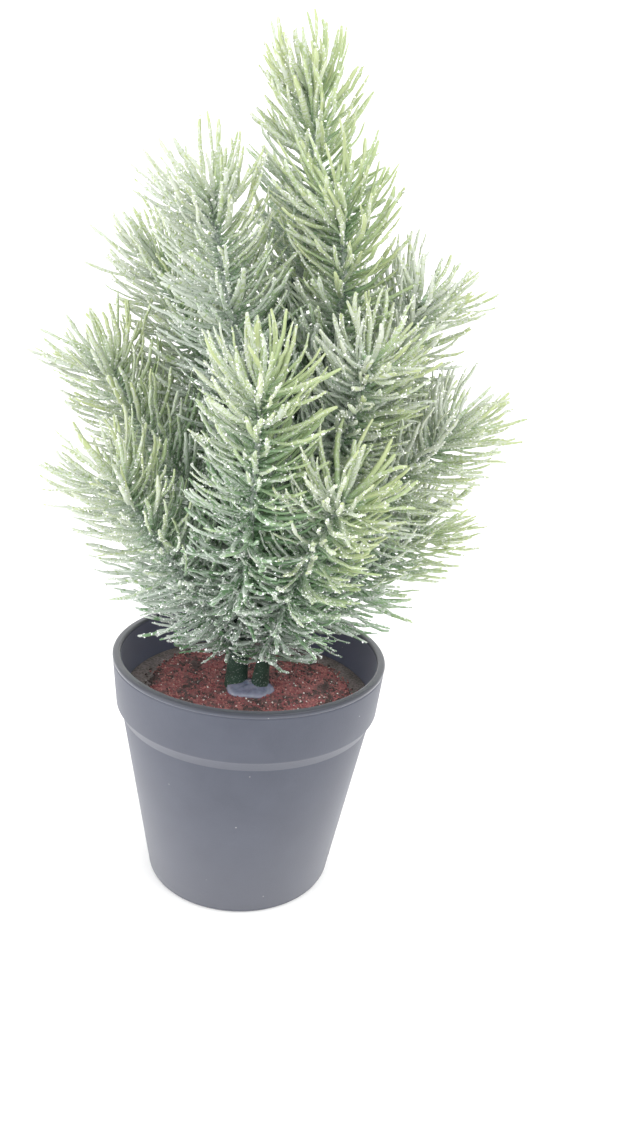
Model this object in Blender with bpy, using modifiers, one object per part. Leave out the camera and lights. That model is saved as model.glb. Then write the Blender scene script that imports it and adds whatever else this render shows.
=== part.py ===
"""Frosted miniature spruce: moulded sprigs on a slim stem, glued into a dark plastic pot.

The pot stands on z = 0 and is turned about the z axis. The front of the plant faces -Y.
Every sprig is one mass of needles on its own stem, and grows on from the tip of its bough.
"""

import math
import random
from collections import namedtuple

import bmesh
import bpy
import numpy as np
from mathutils import Vector

MM = 0.001
GAP = 0.3 * MM
SEED = 41
UP = Vector((0.0, 0.0, 1.0))

# Pot: a moulded cup with a deep band under its rim
POT_HEIGHT = 86.3 * MM
RIM_RADIUS = 48.0 * MM
LIP_WIDTH = 2.8 * MM
LIP_ROUND = 0.9 * MM
LIP_PIECES = 3
BAND_FOOT_HEIGHT = 67.2 * MM
BAND_FOOT_RADIUS = 46.5 * MM
BAND_ROUND = 1.2 * MM
BAND_CUT_BACK = 0.42 * MM
STEP_HEIGHT = 63.3 * MM
STEP_RADIUS = 44.3 * MM
BASE_RADIUS = 33.5 * MM
BASE_ROUND = 1.2 * MM
BASE_FLARE = 0.24 * MM
POT_FLOOR = 2.2 * MM
BAND_WALL = 2.5 * MM
SIDE_WALL = 1.9 * MM
POT_STEPS = 56

# Filling: a plug of foam with a layer of red grit glued on it
FOAM_TOP = 71.0 * MM
FOAM_ROUND = 1.0 * MM
FOAM_STEPS = 36
GRIT_RADIUS = 35.5 * MM
GRIT_SLOPE = 1.6 * MM
GRIT_THICKNESS = 1.3 * MM
GRIT_WAVES = ((3, 0.022, 0.4), (5, 0.018, 2.1), (11, 0.012, 1.0))
GRIT_BOTTOM = FOAM_TOP + GAP
GROUND = GRIT_BOTTOM + GRIT_THICKNESS + GAP

# Trunk: from a flat cut on the grit to the foot of the leader
TRUNK_FOOT = Vector((-4.3, -1.5, 0.0)) * MM
TRUNK_LEAN = Vector((11.8, 5.0, 0.0)) * MM
TRUNK_HEIGHT = 141.0 * MM
TRUNK_CURVE = 1.7
TRUNK_FLARE = 0.35 * MM
TRUNK_FLARE_HEIGHT = 5.0 * MM
TRUNK_FOOT_RADIUS = 3.9 * MM
TRUNK_TIP_RADIUS = 1.7 * MM
TRUNK_POINTS = 14

# Second stem: it stands beside the trunk and carries the front right sprig
SIDE_STEM_FOOT = Vector((4.2, -3.2, 0.0)) * MM
SIDE_STEM_RISE = 26.0 * MM
SIDE_STEM_RADIUS = 3.4 * MM

# Glue: a puddle of hot glue round the foot of both stems, its profile from the top outwards
GLUE_CENTRE = Vector((1.2, -4.6, 0.0)) * MM
GLUE_RADII = (9.6 * MM, 7.6 * MM)
GLUE_HEIGHT = 2.6 * MM
GLUE_STEPS = 22
GLUE_WAVES = ((2, 0.06, 0.7), (5, 0.05, 0.2))
GLUE_PROFILE = ((0.0, 1.0), (0.35, 0.97), (0.65, 0.8), (0.86, 0.5), (1.0, 0.12), (0.96, 0.0), (0.0, 0.0))

# Boughs and stems: the roundness is the curve's bevel resolution
BOUGH_ROOT_RADIUS = 1.9 * MM
STEM_ROOT_RADIUS = 1.35 * MM
STEM_TIP_RADIUS = 0.7 * MM
BOUGH_SHARE = 0.22
PATH_POINTS = 25
BOUGH_POINTS = 6
STEM_POINTS = 7
TRUNK_ROUNDNESS = 3
BOUGH_ROUNDNESS = 1
STEM_ROUNDNESS = 0
CUTTER_OVERRUN = 1.2 * MM

# Each row: name, bearing in degrees, reach from the pot's axis, height of the tip above the
# grit, height at which the bough leaves the trunk, bow outwards and swing sideways, all in mm.
# The row with no height on the trunk stands on the second stem.
SPRIGS = (
    ("front_left_low", 210.5, 50.0, 78.0, 15.0, 2.0, -6.0),
    ("front_middle", 272.5, 48.0, 114.0, 23.0, 12.5, 0.0),
    ("front_right_low", 301.5, 52.8, 83.0, 0.0, 0.0, 0.0),
    ("right_low", 10.5, 56.5, 62.0, 19.0, 10.0, 0.0),
    ("right_middle", 355.3, 61.5, 100.0, 44.0, 9.0, 0.0),
    ("right_high", 353.8, 46.7, 137.5, 71.0, 12.0, 0.0),
    ("front_right_middle", 315.8, 43.1, 121.0, 53.0, 6.0, -16.0),
    ("front_right_high", 320.5, 23.6, 162.5, 94.0, 12.0, -18.0),
    ("front_left_high", 228.2, 26.8, 161.5, 84.0, 0.0, 2.0),
    ("left_high", 152.9, 43.9, 141.0, 78.0, 4.0, 0.0),
    ("left_middle", 180.0, 52.0, 110.0, 50.0, 7.0, 0.0),
    ("back_left_middle", 141.0, 54.0, 93.0, 37.0, 8.0, 0.0),
    ("back_left_low", 150.0, 45.0, 52.0, 12.0, 6.0, 0.0),
    ("back_low", 84.0, 52.0, 66.0, 28.0, 9.0, 0.0),
    ("back_right_middle", 38.0, 60.0, 93.0, 34.0, 9.0, 0.0),
    ("back_middle", 103.0, 50.0, 119.0, 58.0, 9.0, 0.0),
    ("back_right_high", 42.0, 44.0, 125.0, 64.0, 9.0, 0.0),
    ("back_high", 82.0, 29.0, 150.0, 86.0, 6.0, 4.0),
)
LEADER_TIP = Vector((7.3, 5.0, 193.8)) * MM
LEADER_BOW = Vector((3.2, -1.0, 0.0)) * MM

# Needles: flat spindles, larger and fewer than on the real sprigs; angles in degrees
NEEDLES = 37
TUFT_SHARE = 0.18
NEEDLE_LENGTH = 24.5 * MM
NEEDLE_WIDTH = 3.1 * MM
NEEDLE_THICKNESS = 1.5 * MM
NEEDLE_WAIST = 0.45
NEEDLE_BEND = 9.0
LEAN_AT_ROOT = 62.0
LEAN_AT_TIP = 46.0
LEAN_SPREAD = 5.0
TUFT_LEAN = 36.0
TUFT_LEAN_SHARES = (0.25, 1.1)
GOLDEN_ANGLE = 137.508
TURN_SPREAD = 10.0
SHORTEST_SHARE = 0.8
SWELL_SHARE = 0.25
SWELL_END = 0.75
LENGTH_SHARES = (0.9, 1.04)
SHORTENINGS = (1.0, 0.88, 0.76, 0.64)
ROOT_MARGIN = 0.06
LOOK_AHEAD = 0.02
TURN_REFERENCE = Vector((0.31, 0.94, 0.12))
SAMPLES = np.linspace(0.2, 1.0, 6)

WELD_DISTANCE = 0.001 * MM
SCREW_MERGE = 0.01 * MM
SHARP_ANGLE = 35.0

Limb = namedtuple("Limb", "path radius")


# Scene, meshes and turned shapes

def clear_scene():
    """Remove whatever the scene holds."""
    for thing in list(bpy.data.objects):
        bpy.data.objects.remove(thing, do_unlink=True)


def collection(name):
    """Return a new collection in the scene."""
    group = bpy.data.collections.new(name)
    bpy.context.scene.collection.children.link(group)
    return group


def material(name, colour, roughness):
    """Return a plain Principled material."""
    finish = bpy.data.materials.new(name)
    finish.use_nodes = True
    shader = finish.node_tree.nodes["Principled BSDF"]
    shader.inputs["Base Color"].default_value = (*colour, 1.0)
    shader.inputs["Roughness"].default_value = roughness
    shader.inputs["Metallic"].default_value = 0.0
    finish.diffuse_color = (*colour, 1.0)
    return finish


def add_object(name, mesh, group, finish=None):
    """Put a mesh in a collection as an object."""
    thing = bpy.data.objects.new(name, mesh)
    if finish:
        mesh.materials.clear()
        mesh.materials.append(finish)
    group.objects.link(thing)
    return thing


def evaluated_mesh(thing):
    """Return the mesh that an object's modifiers or curve give."""
    graph = bpy.context.evaluated_depsgraph_get()
    return bpy.data.meshes.new_from_object(thing.evaluated_get(graph))


def apply_boolean(thing, operation, cutter=None, group=None):
    """Cut or join once with an object or a collection, and keep the result."""
    change = thing.modifiers.new("change", "BOOLEAN")
    change.operation = operation
    change.solver = "EXACT"
    if group:
        change.operand_type = "COLLECTION"
        change.collection = group
    else:
        change.object = cutter
    mesh = evaluated_mesh(thing)
    thing.modifiers.clear()
    thing.data = mesh


def weld_and_face_out(mesh):
    """Merge doubled points, and turn the faces outwards."""
    shape = bmesh.new()
    shape.from_mesh(mesh)
    bmesh.ops.remove_doubles(shape, verts=shape.verts, dist=WELD_DISTANCE)
    bmesh.ops.recalc_face_normals(shape, faces=shape.faces)
    shape.to_mesh(mesh)
    shape.free()


def arc(centre_r, centre_z, radius, start, end, pieces):
    """Return profile points along an arc, angles in degrees from +r towards +z."""
    angles = np.radians(np.linspace(start, end, pieces + 1))
    return [(centre_r + radius * math.cos(a), centre_z + radius * math.sin(a)) for a in angles]


def turned(name, profile, steps, group, finish):
    """Turn a profile, given from its upper end on the axis round to its lower one, into a body."""
    mesh = bpy.data.meshes.new(name)
    points = [(r, 0.0, z) for r, z in profile]
    edges = [(i, i + 1) for i in range(len(points) - 1)]
    mesh.from_pydata(points, edges, [])
    thing = add_object(name, mesh, group)
    screw = thing.modifiers.new("turn", "SCREW")
    screw.axis = "Z"
    screw.angle = 2 * math.pi
    screw.steps = steps
    screw.render_steps = steps
    screw.use_merge_vertices = True
    screw.merge_threshold = SCREW_MERGE
    thing.data = evaluated_mesh(thing)
    thing.modifiers.clear()
    thing.data.materials.append(finish)
    thing.data.shade_smooth()
    thing.data.set_sharp_from_angle(angle=math.radians(SHARP_ANGLE))
    return thing


def tube(name, points, radii, roundness, group, finish=None):
    """Return a closed tapering tube along points, with a flat cap on each end."""
    curve = bpy.data.curves.new(name, "CURVE")
    curve.dimensions = "3D"
    curve.bevel_depth = radii[0]
    curve.bevel_resolution = roundness
    curve.use_fill_caps = True
    spline = curve.splines.new("POLY")
    spline.points.add(len(points) - 1)
    for place, point, radius in zip(spline.points, points, radii):
        place.co = (*point, 1.0)
        place.radius = radius / radii[0]
    guide = bpy.data.objects.new(name + "_guide", curve)
    group.objects.link(guide)
    mesh = evaluated_mesh(guide)
    bpy.data.objects.remove(guide, do_unlink=True)
    weld_and_face_out(mesh)
    return add_object(name, mesh, group, finish)


def tube_cutter(name, points, radii, cutters):
    """Return a tube that is wider than a stem by the gap, and runs on below its foot."""
    longer = [Vector(points[0]) - UP * CUTTER_OVERRUN, *points[1:]]
    cutter = tube(name, longer, [radius + GAP for radius in radii], TRUNK_ROUNDNESS, cutters)
    cutter.hide_render = True
    cutter.display_type = "WIRE"
    return cutter


def waved(angle, waves):
    """Return 1 plus a sum of sines round a circle, for an uneven outline."""
    return 1.0 + sum(size * math.sin(count * angle + phase) for count, size, phase in waves)


# Paths of the stems

def bend_through(start, middle, end, count):
    """Return points along the curve that start, middle and end pull into a bow."""
    shares = np.linspace(0.0, 1.0, count)[:, None]
    start, middle, end = (np.array(point) for point in (start, middle, end))
    return (1 - shares) ** 2 * start + 2 * shares * (1 - shares) * middle + shares**2 * end


def path_length(path):
    """Return the length of a path."""
    return float(np.linalg.norm(np.diff(path, axis=0), axis=1).sum())


def stretch(path, start, end, count):
    """Return evenly spaced points between two distances along a path."""
    steps = np.linalg.norm(np.diff(path, axis=0), axis=1)
    along = np.concatenate([[0.0], np.cumsum(steps)])
    places = np.linspace(start, end, count)
    return np.stack([np.interp(places, along, path[:, axis]) for axis in range(3)], axis=1)


def distance_to_path(points, path):
    """Return how far each point is from the nearest place on a path."""
    starts, runs = path[:-1], np.diff(path, axis=0)
    offsets = points[:, None] - starts[None]
    shares = (offsets * runs).sum(-1) / (runs * runs).sum(-1)
    shares = np.clip(shares, 0.0, 1.0)[..., None]
    return np.linalg.norm(offsets - shares * runs, axis=-1).min(axis=1)


def trunk_point(share):
    """Return the trunk's middle at a share of its height, 0 at the cut and 1 at its tip."""
    place = TRUNK_FOOT + TRUNK_LEAN * share**TRUNK_CURVE
    place.z = GROUND + TRUNK_HEIGHT * share
    return place


def trunk_radius(share):
    """Return the trunk's radius there: an even taper, and a flare at the foot."""
    flare = TRUNK_FLARE * max(0.0, 1.0 - share * TRUNK_HEIGHT / TRUNK_FLARE_HEIGHT)
    return TRUNK_FOOT_RADIUS + (TRUNK_TIP_RADIUS - TRUNK_FOOT_RADIUS) * share + flare


def limb_path(row):
    """Return the points of a bough and its sprig's stem, from the trunk's middle to the tip."""
    name, bearing, reach, height, root, bow, swing = row
    heading = math.radians(bearing)
    tip = Vector((reach * math.cos(heading), reach * math.sin(heading), height)) * MM + UP * GROUND
    if root == 0.0:
        start = SIDE_STEM_FOOT + UP * GROUND
        return bend_through(start, start + UP * SIDE_STEM_RISE, tip, PATH_POINTS)
    start = trunk_point(root * MM / TRUNK_HEIGHT)
    chord = (tip - start).normalized()
    sideways = chord.cross(UP).normalized()
    outwards = -sideways.cross(chord).normalized()
    middle = (start + tip) / 2 + outwards * bow * MM + sideways * swing * MM
    return bend_through(start, middle, tip, PATH_POINTS)


def leader_path():
    """Return the points of the leader's stem, from the trunk's tip to its own."""
    start = trunk_point(1.0)
    tip = LEADER_TIP + UP * GROUND
    middle = (start + tip) / 2 + LEADER_BOW * 2
    return bend_through(start, middle, tip, PATH_POINTS)


# Pot and filling

def inner_wall(height):
    """Return the radius of the pot's inner wall at a height."""
    side_slope = (STEP_RADIUS - BASE_RADIUS) / STEP_HEIGHT
    heights = (POT_FLOOR, STEP_HEIGHT - SIDE_WALL, BAND_FOOT_HEIGHT, POT_HEIGHT)
    radii = (
        BASE_RADIUS + side_slope * POT_FLOOR - SIDE_WALL,
        STEP_RADIUS - side_slope * SIDE_WALL - SIDE_WALL,
        BAND_FOOT_RADIUS - BAND_WALL,
        RIM_RADIUS - LIP_WIDTH,
    )
    return float(np.interp(height, heights, radii))


def build_pot(group, finish):
    """Pot: inner floor and wall, rounded lip, band, step and tapering side down to the flat base."""
    lip_height = POT_HEIGHT - LIP_ROUND
    lip_inner = RIM_RADIUS - LIP_WIDTH
    profile = [(0.0, POT_FLOOR), (inner_wall(POT_FLOOR) - BASE_ROUND, POT_FLOOR)]
    profile.append((inner_wall(POT_FLOOR + BASE_ROUND), POT_FLOOR + BASE_ROUND))
    profile.append((inner_wall(STEP_HEIGHT - SIDE_WALL), STEP_HEIGHT - SIDE_WALL))
    profile.append((inner_wall(BAND_FOOT_HEIGHT), BAND_FOOT_HEIGHT))
    profile += arc(lip_inner + LIP_ROUND, lip_height, LIP_ROUND, 180, 90, LIP_PIECES)
    profile += arc(RIM_RADIUS - LIP_ROUND, lip_height, LIP_ROUND, 90, 0, LIP_PIECES)
    profile.append((BAND_FOOT_RADIUS, BAND_FOOT_HEIGHT + BAND_ROUND))
    profile.append((BAND_FOOT_RADIUS - BAND_CUT_BACK, BAND_FOOT_HEIGHT))
    profile.append((STEP_RADIUS, STEP_HEIGHT))
    profile.append((BASE_RADIUS + BASE_FLARE, BASE_ROUND))
    profile += arc(BASE_RADIUS - BASE_ROUND, BASE_ROUND, BASE_ROUND, -30, -90, 2)
    profile.append((0.0, 0.0))
    turned("pot", profile, POT_STEPS, group, finish)


def build_foam(group, finish):
    """Foam: a plug that fills the pot up to a finger's breadth below its rim, clear of its wall."""
    bottom = POT_FLOOR + GAP
    heights = (FOAM_TOP - FOAM_ROUND, BAND_FOOT_HEIGHT, STEP_HEIGHT - SIDE_WALL, bottom + BASE_ROUND)
    profile = [(0.0, FOAM_TOP), (inner_wall(FOAM_TOP) - GAP - FOAM_ROUND, FOAM_TOP)]
    profile += [(inner_wall(height) - GAP, height) for height in heights]
    profile += [(inner_wall(bottom) - GAP - BASE_ROUND, bottom), (0.0, bottom)]
    turned("filling_foam", profile, FOAM_STEPS, group, finish)


def build_grit(group, finish):
    """Grit: a thin flat layer with an uneven edge, in the middle of the foam."""
    shape = bmesh.new()
    bmesh.ops.create_cone(
        shape, cap_ends=True, cap_tris=True, segments=FOAM_STEPS,
        radius1=GRIT_RADIUS, radius2=GRIT_RADIUS - GRIT_SLOPE, depth=GRIT_THICKNESS,
    )
    for vertex in shape.verts:
        wave = waved(math.atan2(vertex.co.y, vertex.co.x), GRIT_WAVES)
        vertex.co.x *= wave
        vertex.co.y *= wave
        vertex.co.z += GRIT_BOTTOM + GRIT_THICKNESS / 2
    mesh = bpy.data.meshes.new("filling_grit")
    shape.to_mesh(mesh)
    shape.free()
    add_object("filling_grit", mesh, group, finish)


def build_glue(group, stem_rooms, finish):
    """Glue: a low uneven dome on the grit, with room for the stems that stand in it."""
    dome = turned("glue", GLUE_PROFILE, GLUE_STEPS, group, finish)
    for vertex in dome.data.vertices:
        x, y, z = vertex.co
        wave = waved(math.atan2(y, x), GLUE_WAVES)
        vertex.co.x = GLUE_CENTRE.x + x * wave * GLUE_RADII[0]
        vertex.co.y = GLUE_CENTRE.y + y * wave * GLUE_RADII[1]
        vertex.co.z = GROUND + z * GLUE_HEIGHT
    for room in stem_rooms:
        apply_boolean(dome, "DIFFERENCE", cutter=room)


# Stems and boughs

def build_trunk(group, cutters, finish):
    """Trunk: it rises straight from its cut, then leans. Returns its limb and its cutter."""
    shares = np.linspace(0.0, 1.0, TRUNK_POINTS)
    points = [trunk_point(share) for share in shares]
    points[1].x, points[1].y = points[0].x, points[0].y
    radii = [trunk_radius(share) for share in shares]
    tube("trunk", points, radii, TRUNK_ROUNDNESS, group, finish)
    cutter = tube_cutter("trunk_room", points, radii, cutters)
    return Limb(np.array(points), TRUNK_FOOT_RADIUS), cutter


def build_second_stem(points, group, cutters, finish):
    """Second stem: it tapers as it rises, from a flat cut on the grit. Returns its cutter."""
    points[1][:2] = points[0][:2]
    radii = np.linspace(SIDE_STEM_RADIUS, STEM_ROOT_RADIUS, BOUGH_POINTS)
    tube("second_stem", points, radii, TRUNK_ROUNDNESS, group, finish)
    return tube_cutter("second_stem_room", points, radii, cutters)


def build_bough(name, points, trunk_room, group, finish):
    """Bough: a tapering limb whose root is cut to the trunk's side, the gap clear of it."""
    radii = np.linspace(BOUGH_ROOT_RADIUS, STEM_ROOT_RADIUS, BOUGH_POINTS)
    bough = tube("bough_" + name, points, radii, BOUGH_ROUNDNESS, group, finish)
    apply_boolean(bough, "DIFFERENCE", cutter=trunk_room)


# Needles and sprigs

def clear_of_pot(points, halves):
    """Tell whether needle points miss the pot, the foam, the grit and the glue."""
    radii = np.hypot(points[:, 0], points[:, 1])
    heights = points[:, 2]
    over_rim = heights > POT_HEIGHT + GAP + halves
    outside = radii > RIM_RADIUS + GAP + halves
    inside = radii < inner_wall(FOAM_TOP) - GAP - halves
    over_glue = heights > GROUND + GLUE_HEIGHT + GAP + halves
    return bool((over_rim | outside | (inside & over_glue)).all())


def keeps_its_space(points, halves, stem, bough, others):
    """Tell whether a needle stays nearer its own stem than any other limb, and touches none."""
    if not clear_of_pot(points, halves):
        return False
    own = distance_to_path(points, stem)
    for limb in others:
        away = distance_to_path(points, limb.path)
        if (away < own + 2 * halves + GAP).any() or (away < limb.radius + halves + GAP).any():
            return False
    if bough is None:
        return True
    return bool((distance_to_path(points, bough.path) > bough.radius + halves + GAP).all())


def needle_start(stem, rng, number):
    """Return a needle's root, the stem's direction there, the way out, its lean and its reach."""
    length = path_length(stem)
    share = (number + 0.5) / (NEEDLES * (1.0 - TUFT_SHARE))
    place = min(share, 1.0) * (1.0 - 2 * ROOT_MARGIN) + ROOT_MARGIN
    root, ahead = stretch(stem, place * length, (place + LOOK_AHEAD) * length, 2)
    root, forward = Vector(root), Vector(ahead - root).normalized()
    side = forward.cross(TURN_REFERENCE).normalized()
    turn = math.radians(number * GOLDEN_ANGLE + rng.uniform(-TURN_SPREAD, TURN_SPREAD))
    outward = side * math.cos(turn) + side.cross(forward) * math.sin(turn)
    lean = LEAN_AT_ROOT + (LEAN_AT_TIP - LEAN_AT_ROOT) * place + rng.uniform(-LEAN_SPREAD, LEAN_SPREAD)
    if share > 1.0:
        lean = TUFT_LEAN * rng.uniform(*TUFT_LEAN_SHARES)
    swell = SHORTEST_SHARE + SWELL_SHARE * math.sin(math.pi * min(place, SWELL_END))
    return root, forward, outward, math.radians(lean), NEEDLE_LENGTH * swell * rng.uniform(*LENGTH_SHARES)


def needle_bones(root, forward, outward, lean, reach):
    """Return the root, waist and tip of a needle that bends towards the sprig's tip."""
    bend = math.radians(NEEDLE_BEND)
    first = forward * math.cos(lean + bend) + outward * math.sin(lean + bend)
    second = forward * math.cos(lean - bend) + outward * math.sin(lean - bend)
    waist = root + first * (reach * NEEDLE_WAIST)
    return root, waist, waist + second * (reach * (1.0 - NEEDLE_WAIST))


def sampled(bones):
    """Return points along a needle and its half width at each."""
    bones = np.array(bones)
    shares = (0.0, NEEDLE_WAIST, 1.0)
    points = np.stack([np.interp(SAMPLES, shares, bones[:, axis]) for axis in range(3)], axis=1)
    return points, np.interp(SAMPLES, shares, (0.0, NEEDLE_WIDTH / 2, 0.0))


def needle_mesh(root, waist, tip, across):
    """Return a spindle with a point at each end and a flat four-cornered waist."""
    upwards = (tip - root).cross(across).normalized()
    shape = bmesh.new()
    bmesh.ops.create_uvsphere(shape, u_segments=4, v_segments=2, radius=1.0)
    for vertex in shape.verts:
        x, y, z = vertex.co
        if z > 0.5:
            vertex.co = tip
        elif z < -0.5:
            vertex.co = root
        else:
            vertex.co = waist + across * (x * NEEDLE_WIDTH / 2) + upwards * (y * NEEDLE_THICKNESS / 2)
    mesh = bpy.data.meshes.new("needle")
    shape.to_mesh(mesh)
    shape.free()
    return mesh


def build_sprig(name, stem, bough, others, group, finish):
    """Sprig: needles fused to their stem, without those that would leave the sprig's space."""
    rng = random.Random(f"{SEED} {name}")
    radii = np.linspace(STEM_ROOT_RADIUS, STEM_TIP_RADIUS, STEM_POINTS)
    points = stretch(stem, 0.0, path_length(stem), STEM_POINTS)
    body = tube(name, points, radii, STEM_ROUNDNESS, group, finish)
    needles = collection(name + "_needles")
    for number in range(NEEDLES):
        root, forward, outward, lean, reach = needle_start(stem, rng, number)
        for shortening in SHORTENINGS:
            bones = needle_bones(root, forward, outward, lean, reach * shortening)
            if keeps_its_space(*sampled(bones), stem, bough, others):
                across = (bones[2] - bones[0]).cross(outward).normalized()
                add_object("needle", needle_mesh(*bones, across), needles)
                break
    apply_boolean(body, "UNION", group=needles)
    for needle in list(needles.objects):
        bpy.data.objects.remove(needle, do_unlink=True)
    bpy.data.collections.remove(needles)


def build():
    """Build the pot, its filling, the stems and the sprigs."""
    clear_scene()
    parts = collection("potted_spruce")
    cutters = collection("cutters")
    pot_plastic = material("dark_pot_plastic", (0.055, 0.058, 0.072), 0.45)
    foam = material("dry_foam", (0.085, 0.068, 0.055), 0.95)
    grit = material("red_grit", (0.19, 0.062, 0.045), 0.9)
    glue = material("hot_glue", (0.55, 0.55, 0.66), 0.2)
    stem_plastic = material("green_stem_plastic", (0.022, 0.05, 0.036), 0.5)
    needle_plastic = material("frosted_needles", (0.30, 0.38, 0.24), 0.6)

    build_pot(parts, pot_plastic)
    build_foam(parts, foam)
    build_grit(parts, grit)
    trunk, trunk_room = build_trunk(parts, cutters, stem_plastic)
    stem_rooms = [trunk_room]

    limbs = {"trunk": trunk}
    stems = {}
    for row in SPRIGS:
        name, stands_alone = row[0], row[4] == 0.0
        path = limb_path(row)
        bough_end = BOUGH_SHARE * path_length(path)
        points = stretch(path, 0.0, bough_end, BOUGH_POINTS)
        if stands_alone:
            stem_rooms.append(build_second_stem(points, parts, cutters, stem_plastic))
        else:
            build_bough(name, points, trunk_room, parts, stem_plastic)
        radius = SIDE_STEM_RADIUS if stands_alone else BOUGH_ROOT_RADIUS
        limbs[name] = Limb(path, radius)
        stems[name] = stretch(path, bough_end + GAP, path_length(path), PATH_POINTS), Limb(points, radius)
    leader = leader_path()
    limbs["leader"] = Limb(leader, STEM_ROOT_RADIUS)
    stems["leader"] = stretch(leader, GAP, path_length(leader), PATH_POINTS), None
    build_glue(parts, stem_rooms, glue)

    for name, (stem, bough) in stems.items():
        shares_space_with = {name, "trunk"} if name == "leader" else {name}
        others = [limb for other, limb in limbs.items() if other not in shares_space_with]
        build_sprig("sprig_" + name, stem, bough, others, parts, needle_plastic)


build()
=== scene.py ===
import math

import bpy
import numpy as np
from mathutils import Matrix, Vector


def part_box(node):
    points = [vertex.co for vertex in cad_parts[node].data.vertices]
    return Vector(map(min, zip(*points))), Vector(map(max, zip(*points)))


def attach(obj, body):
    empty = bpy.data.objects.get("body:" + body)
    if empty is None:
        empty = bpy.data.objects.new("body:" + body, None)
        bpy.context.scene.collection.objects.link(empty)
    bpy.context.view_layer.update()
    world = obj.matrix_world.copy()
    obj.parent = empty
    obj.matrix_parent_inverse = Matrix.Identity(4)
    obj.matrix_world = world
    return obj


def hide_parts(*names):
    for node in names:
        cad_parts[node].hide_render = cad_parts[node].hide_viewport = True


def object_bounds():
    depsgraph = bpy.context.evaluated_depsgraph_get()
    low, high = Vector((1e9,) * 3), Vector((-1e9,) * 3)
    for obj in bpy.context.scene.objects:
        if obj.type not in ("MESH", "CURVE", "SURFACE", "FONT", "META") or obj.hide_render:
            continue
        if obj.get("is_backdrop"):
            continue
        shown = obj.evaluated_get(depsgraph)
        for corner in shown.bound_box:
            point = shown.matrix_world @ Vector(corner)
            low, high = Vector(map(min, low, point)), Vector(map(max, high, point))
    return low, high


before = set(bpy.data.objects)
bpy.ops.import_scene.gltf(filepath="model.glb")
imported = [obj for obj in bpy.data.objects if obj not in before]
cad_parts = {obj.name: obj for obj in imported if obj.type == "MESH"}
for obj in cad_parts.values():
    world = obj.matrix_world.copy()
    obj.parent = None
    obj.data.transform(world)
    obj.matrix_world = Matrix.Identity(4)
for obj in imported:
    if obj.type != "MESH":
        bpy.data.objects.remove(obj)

MM = 0.001
cad_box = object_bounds()


# Pot. An injection-moulded polypropylene cup: a tapering side, a step and a deep band under a
# rolled lip. It is turned from one profile, which runs from the floor inside over the lip and
# down to the flat base.
RIM_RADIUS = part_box("pot")[1][0]
POT_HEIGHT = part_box("pot")[1][2]
LIP_WIDTH = 2.8 * MM
LIP_ROUND = 0.8 * MM
LIP_GROOVE_HEIGHT = POT_HEIGHT - 1.9 * MM
LIP_GROOVE_DEPTH = 0.28 * MM
LIP_GROOVE_WIDTH = 0.5 * MM
BAND_FOOT = (46.5 * MM, 67.2 * MM)
BAND_ROUND = 1.2 * MM
BAND_MIDDLE = 77 * MM
STEP_FOOT = (44.3 * MM, 63.3 * MM)
STEP_ROUND = 0.5 * MM
BASE_RADIUS = 33.5 * MM
BASE_ROUND = 1.2 * MM
BASE_SHOULDER = (0.24 * MM, 0.2 * MM)
POT_FLOOR = 2.2 * MM
BAND_WALL = 2.5 * MM
SIDE_WALL = 1.9 * MM
POT_SIDES = 192
PLASTIC_DARK = "#3b3e4a"
PLASTIC_PALE = "#505461"
# The inside's colour is paler than the outside's: painted light on the inner wall
PLASTIC_INSIDE_PAINTED_LIGHT = "#5c6077"
# The lip's colour is darker: a painted reflection of the dark foliage in its gloss
PLASTIC_LIP_PAINTED_REFLECTION = "#2e313b"
DUST = "#b9b9b6"
CLOUD_SIZE = 22 * MM
MOULD_GRAIN = 0.45 * MM
DUST_SPACING = 9.0 * MM
# The radii between which the inside's painted light sets in, and the heights for the lip's painted
# reflection and its gloss
INSIDE_PAINTED_LIGHT_FADE = (46.0 * MM, 45.4 * MM)
LIP_REFLECTION_FADE = (POT_HEIGHT - 1.3 * MM, POT_HEIGHT - 0.5 * MM)
GLOSS_FADE = (POT_HEIGHT - 2.2 * MM, POT_HEIGHT - 1.2 * MM)


def linear(colour):
    """Turn an sRGB hex colour into linear light: a power of 2.4 above a short straight toe."""
    parts = [int(colour[i:i + 2], 16) / 255 for i in (1, 3, 5)]
    return (*[c / 12.92 if c < 0.04045 else ((c + 0.055) / 1.055) ** 2.4 for c in parts], 1.0)


def fill(node, inputs):
    """Set a node's inputs to values or hex colours, or link sockets or nodes' first live outputs."""
    for name, value in dict(inputs).items():
        if isinstance(value, bpy.types.Node):
            value = next(socket for socket in value.outputs if socket.enabled)
        if isinstance(value, bpy.types.NodeSocket):
            node.id_data.links.new(value, node.inputs[name])
        else:
            node.inputs[name].default_value = linear(value) if isinstance(value, str) else value


def add_node(tree, kind, inputs=(), **settings):
    """Add a shader node, set its settings, and fill its inputs."""
    made = tree.nodes.new("ShaderNode" + kind)
    for name, value in settings.items():
        setattr(made, name, value)
    fill(made, inputs)
    return made


def new_material(name, **settings):
    """Start a material and return it with its node tree and its Principled shader."""
    finish = bpy.data.materials.new(name)
    finish.use_nodes = True
    shader = finish.node_tree.nodes["Principled BSDF"]
    fill(shader, {name.replace("_", " "): value for name, value in settings.items()})
    return finish, finish.node_tree, shader


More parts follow.
